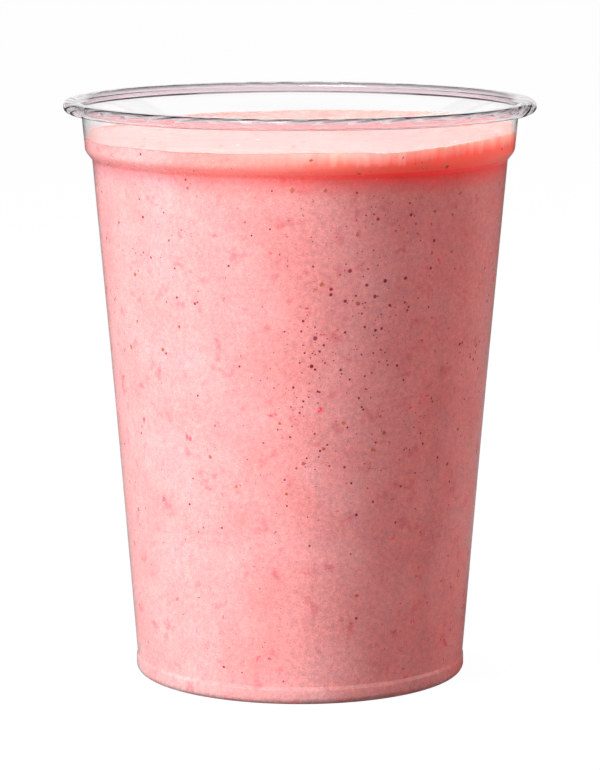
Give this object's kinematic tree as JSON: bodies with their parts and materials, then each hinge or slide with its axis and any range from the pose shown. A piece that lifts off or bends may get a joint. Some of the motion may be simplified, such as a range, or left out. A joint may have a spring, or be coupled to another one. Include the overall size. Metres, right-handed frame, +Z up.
{
  "type": "milkshake",
  "caption": "Thick pink fruit milkshake filling a clear tapered plastic cup with a rolled lip and a stepped collar.",
  "frame": {"origin": "centre of the cup's foot ring, on the surface that the cup stands on", "axes": "+Z up along the cup's axis. The cup is round, so X and Y are set by the drink: its top rises a little towards +X, and a little less towards +Y"},
  "size_m": [0.095, 0.095, 0.1167],
  "materials": {
    "clear_plastic": "clear, glossy thermoformed sheet",
    "pink_milkshake": "thick, creamy and wet, pink, with fine foam, darker red flecks and a few small seeds"
  },
  "bodies": {
    "root": {"cup": "clear_plastic", "milkshake": "pink_milkshake"}
  },
  "joints": []
}
